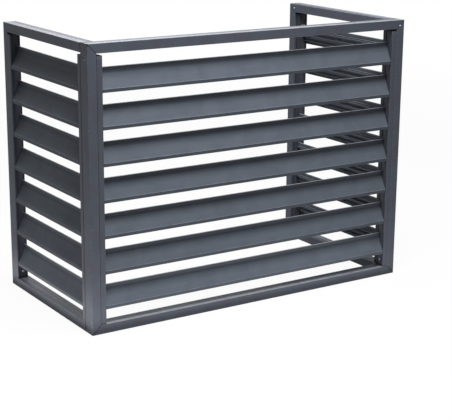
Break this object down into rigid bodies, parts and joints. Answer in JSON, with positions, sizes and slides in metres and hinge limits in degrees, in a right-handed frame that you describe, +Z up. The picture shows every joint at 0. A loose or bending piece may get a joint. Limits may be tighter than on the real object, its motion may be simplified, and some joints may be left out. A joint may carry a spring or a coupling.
{
  "type": "air conditioner screen",
  "caption": "Free-standing louvred screen in dark grey coated aluminium that hides an outdoor air conditioner on three sides, open at the back and top.",
  "frame": {"origin": "on the ground at the centre of the screen's footprint", "axes": "+Z up, -Y out of the front panel, +X to the right as seen from the front"},
  "size_m": [1.2, 0.6, 0.9],
  "materials": {
    "frame_coat": "dark grey powder coat, fine satin",
    "channel_coat": "dark grey powder coat, fine satin",
    "slat_coat": "dark grey powder coat, fine satin",
    "cast_aluminium": "as cast, matt",
    "stainless_steel": "plain, half bright"
  },
  "bodies": {
    "root": {"front_top_rail": "frame_coat", "front_bottom_rail": "frame_coat", "front_left_post": "frame_coat", "front_right_post": "frame_coat", "left_top_rail": "frame_coat", "left_bottom_rail": "frame_coat", "left_rear_post": "frame_coat", "right_top_rail": "frame_coat", "right_bottom_rail": "frame_coat", "right_rear_post": "frame_coat", "front_left_channel": "channel_coat", "front_right_channel": "channel_coat", "left_rear_channel": "channel_coat", "left_front_channel": "channel_coat", "right_front_channel": "channel_coat", "right_rear_channel": "channel_coat", "front_slat_1": "slat_coat", "front_slat_2": "slat_coat", "front_slat_3": "slat_coat", "front_slat_4": "slat_coat", "front_slat_5": "slat_coat", "front_slat_6": "slat_coat", "front_slat_7": "slat_coat", "left_slat_1": "slat_coat", "left_slat_2": "slat_coat", "left_slat_3": "slat_coat", "left_slat_4": "slat_coat", "left_slat_5": "slat_coat", "left_slat_6": "slat_coat", "left_slat_7": "slat_coat", "right_slat_1": "slat_coat", "right_slat_2": "slat_coat", "right_slat_3": "slat_coat", "right_slat_4": "slat_coat", "right_slat_5": "slat_coat", "right_slat_6": "slat_coat", "right_slat_7": "slat_coat", "front_left_top_corner_key": "cast_aluminium", "left_rear_top_corner_key": "cast_aluminium", "left_top_joint_block": "cast_aluminium", "front_right_top_corner_key": "cast_aluminium", "right_rear_top_corner_key": "cast_aluminium", "right_top_joint_block": "cast_aluminium", "front_left_bottom_corner_key": "cast_aluminium", "left_rear_bottom_corner_key": "cast_aluminium", "left_bottom_joint_block": "cast_aluminium", "front_right_bottom_corner_key": "cast_aluminium", "right_rear_bottom_corner_key": "cast_aluminium", "right_bottom_joint_block": "cast_aluminium", "front_left_channel_screw": "stainless_steel", "front_right_channel_screw": "stainless_steel", "left_rear_channel_screw": "stainless_steel", "left_front_channel_screw": "stainless_steel", "right_front_channel_screw": "stainless_steel", "right_rear_channel_screw": "stainless_steel", "left_rear_top_key_screw": "stainless_steel", "left_rear_bottom_key_screw": "stainless_steel", "right_rear_top_key_screw": "stainless_steel", "right_rear_bottom_key_screw": "stainless_steel"}
  },
  "joints": []
}
